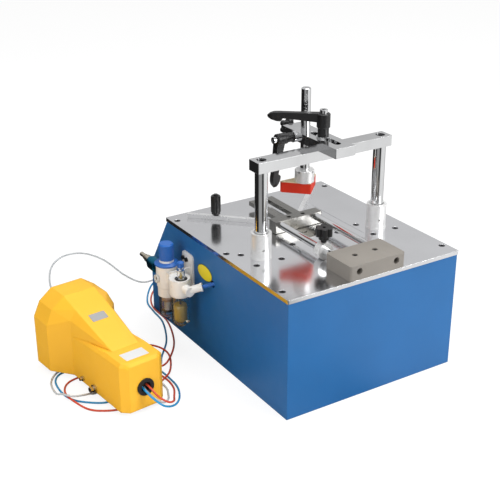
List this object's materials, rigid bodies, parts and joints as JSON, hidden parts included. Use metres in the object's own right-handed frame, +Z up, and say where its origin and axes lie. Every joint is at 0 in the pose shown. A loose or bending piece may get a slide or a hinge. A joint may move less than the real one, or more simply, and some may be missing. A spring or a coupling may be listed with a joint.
{
  "type": "picture frame underpinner",
  "caption": "Bench machine that clamps a mitred frame corner under a post-guided bridge and drives a V-nail up into it, with air unit and foot pedal.",
  "frame": {"origin": "on the bench, under the centre of the table plate", "axes": "+X to the operator's right, +Y away from the operator, +Z up"},
  "size_m": [0.7269, 0.9033, 0.547],
  "materials": {
    "cabinet_paint": "satin powder coat",
    "plate_steel": "polished, slightly hazy",
    "bright_steel": "polished",
    "turned_steel": "turned, satin",
    "cylinder_metal": "anodised",
    "block_steel": "bead blasted",
    "black_screw": "black oxide",
    "insert_steel": "surface ground",
    "lever_black": "fine texture",
    "pad_red": "matte",
    "dark_plate": "matte",
    "air_white": "moulded",
    "air_blue": "moulded",
    "bowl_clear": "clear polycarbonate",
    "bowl_oil": "clear polycarbonate",
    "teal": "anodised",
    "brass": "nickel-plated",
    "dial_white": "printed dial",
    "pedal_yellow": "gloss moulding",
    "black_rubber": "matte",
    "hose_blue": "tube",
    "hose_red": "tube",
    "hose_clear": "translucent tube"
  },
  "bodies": {
    "machine": {"cabinet": "cabinet_paint", "rear_cover": "cabinet_paint", "base_plate": "dark_plate", "table_plate": "plate_steel", "socket_screws": "black_screw", "collar_left": "turned_steel", "collar_right": "turned_steel", "clamp_cylinders": "cylinder_metal", "driver_cylinder": "cylinder_metal", "driver_head": "turned_steel", "insert_plate": "insert_steel", "nail_magazine": "turned_steel", "front_block": "block_steel", "guide_rods": "bright_steel", "air_bracket": "turned_steel", "regulator_body": "air_white", "regulator_ring": "air_blue", "filter_bowl": "bowl_clear", "gauge_case": "dial_white", "lubricator_body": "air_white", "lubricator_bowl": "bowl_oil", "sight_dome": "bowl_clear", "inlet_valve": "teal", "air_plug": "brass", "elbow_fitting": "air_white", "feed_tube": "air_blue", "push_in_fittings": "brass", "pedal_cover": "pedal_yellow", "pedal_base": "dark_plate", "pedal_valve": "cylinder_metal", "pedal_grommet": "black_rubber", "pedal_fittings": "brass", "hose_blue": "hose_blue", "hose_red": "hose_red", "hose_clear": "hose_clear"},
    "bridge": {"cross_bar": "bright_steel", "post_left": "bright_steel", "post_right": "bright_steel", "bar_screws": "black_screw"},
    "arm": {"arm": "bright_steel"},
    "top_lever": {"top_lever": "lever_black", "top_lever_stud": "bright_steel"},
    "side_lever": {"side_lever": "lever_black", "side_lever_stud": "bright_steel"},
    "rod_knob": {"rod_knob": "lever_black"},
    "pad_rod": {"pad_rod": "bright_steel", "pad_holder": "turned_steel", "pad": "pad_red"},
    "carriage": {"carriage": "turned_steel", "fence_left": "bright_steel", "fence_right": "bright_steel"},
    "fence_knob": {"fence_knob": "lever_black"},
    "stop_collar": {"stop_collar": "turned_steel"},
    "stop_knob": {"stop_knob": "lever_black"},
    "driver": {"driver_blade": "turned_steel"},
    "nail_pusher": {"nail_pusher": "turned_steel"},
    "regulator_knob": {"regulator_knob": "air_blue"},
    "drip_knob": {"drip_knob": "air_blue"},
    "gauge_needle": {"gauge_needle": "lever_black"},
    "treadle": {"treadle": "dark_plate"}
  },
  "joints": [
    {"name": "bridge_slide", "type": "slide", "parent": "machine", "child": "bridge", "axis": [0, 0, -1], "range_m": [0, 0.04], "stiffness_N_per_m": 2500, "springref_m": -0.045},
    {"name": "arm_slide", "type": "slide", "parent": "bridge", "child": "arm", "axis": [0, 1, 0], "range_m": [-0.028, 0.043]},
    {"name": "pad_slide", "type": "slide", "parent": "arm", "child": "pad_rod", "axis": [0, 0, 1], "range_m": [-0.015, 0.038]},
    {"name": "top_lever_turn", "type": "hinge", "parent": "bridge", "child": "top_lever", "pos_m": [0, -0.046, 0.467], "axis": [0, 0, 1], "range_deg": [0, 150]},
    {"name": "side_lever_turn", "type": "hinge", "parent": "arm", "child": "side_lever", "pos_m": [-0.031, 0.012, 0.4545], "axis": [1, 0, 0], "range_deg": [0, 100]},
    {"name": "rod_knob_turn", "type": "hinge", "parent": "arm", "child": "rod_knob", "pos_m": [0, 0.058, 0.4545], "axis": [0, 1, 0], "continuous": true},
    {"name": "carriage_slide", "type": "slide", "parent": "machine", "child": "carriage", "axis": [0, 1, 0], "range_m": [-0.12, 0]},
    {"name": "fence_knob_turn", "type": "hinge", "parent": "carriage", "child": "fence_knob", "pos_m": [-0.11668, 0.16168, 0.262], "axis": [0, 0, 1], "continuous": true},
    {"name": "stop_slide", "type": "slide", "parent": "machine", "child": "stop_collar", "axis": [0, 1, 0], "range_m": [-0.026, 0.012]},
    {"name": "stop_knob_turn", "type": "hinge", "parent": "stop_collar", "child": "stop_knob", "pos_m": [-0.043, -0.1155, 0.2835], "axis": [0, 0, 1], "continuous": true},
    {"name": "driver_slide", "type": "slide", "parent": "machine", "child": "driver", "axis": [0, 0, 1], "range_m": [0, 0.018]},
    {"name": "pusher_slide", "type": "slide", "parent": "machine", "child": "nail_pusher", "axis": [0, 1, 0], "range_m": [0, 0.09], "stiffness_N_per_m": 20, "springref_m": -0.05},
    {"name": "regulator_knob_turn", "type": "hinge", "parent": "machine", "child": "regulator_knob", "pos_m": [-0.24, 0.153, 0.193], "axis": [0, 0, 1], "continuous": true},
    {"name": "drip_knob_turn", "type": "hinge", "parent": "machine", "child": "drip_knob", "pos_m": [-0.24, 0.093, 0.198], "axis": [0, 0, 1], "continuous": true},
    {"name": "gauge_needle_turn", "type": "hinge", "parent": "machine", "child": "gauge_needle", "pos_m": [-0.2648, 0.153, 0.154], "axis": [-1, 0, 0], "range_deg": [0, 250]},
    {"name": "treadle_press", "type": "hinge", "parent": "machine", "child": "treadle", "pos_m": [-0.41283, 0.03708, 0.046], "axis": [-0.9945, -0.1045, 0], "range_deg": [0, 6], "stiffness_Nm_per_rad": 3, "springref_deg": -34.38}
  ]
}
